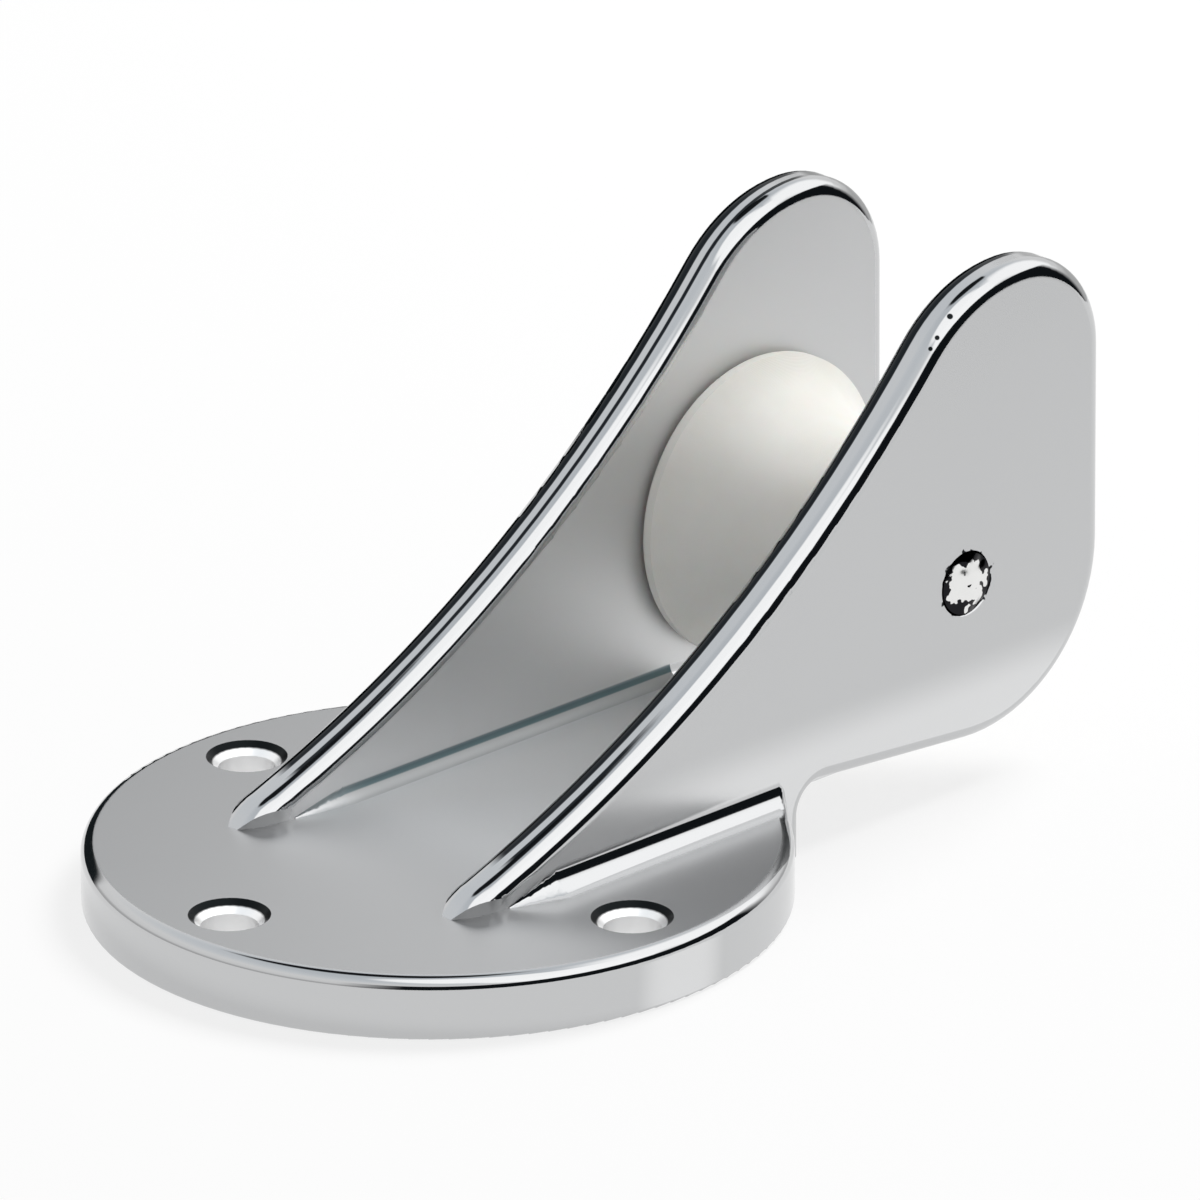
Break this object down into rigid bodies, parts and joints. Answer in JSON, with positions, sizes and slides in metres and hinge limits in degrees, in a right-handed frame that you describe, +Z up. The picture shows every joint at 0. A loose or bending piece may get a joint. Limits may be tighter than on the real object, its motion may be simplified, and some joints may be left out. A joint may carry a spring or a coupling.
{
  "type": "chain guide",
  "caption": "Deck-mounted bow guide that leads an anchor chain between two swept cheeks over a waisted roller, on a round screw-down base.",
  "frame": {"origin": "centre of the round base's underside, which rests on the deck", "axes": "+X points forward over the bow, from the base to the roller; +Y to port, along the roller's axis; +Z up from the deck"},
  "size_m": [0.1185, 0.076, 0.0589],
  "materials": {
    "plated_casting": "mirror polished",
    "nylon": "satin, as turned",
    "pin_steel": "riveted ends polished with the casting"
  },
  "bodies": {
    "guide": {"body_casting": "plated_casting", "axle_pin": "pin_steel"},
    "roller": {"chain_roller": "nylon"}
  },
  "joints": [
    {"name": "roller_spin", "type": "hinge", "parent": "guide", "child": "roller", "pos_m": [0.0598, 0, 0.0244], "axis": [0, 1, 0], "continuous": true}
  ]
}
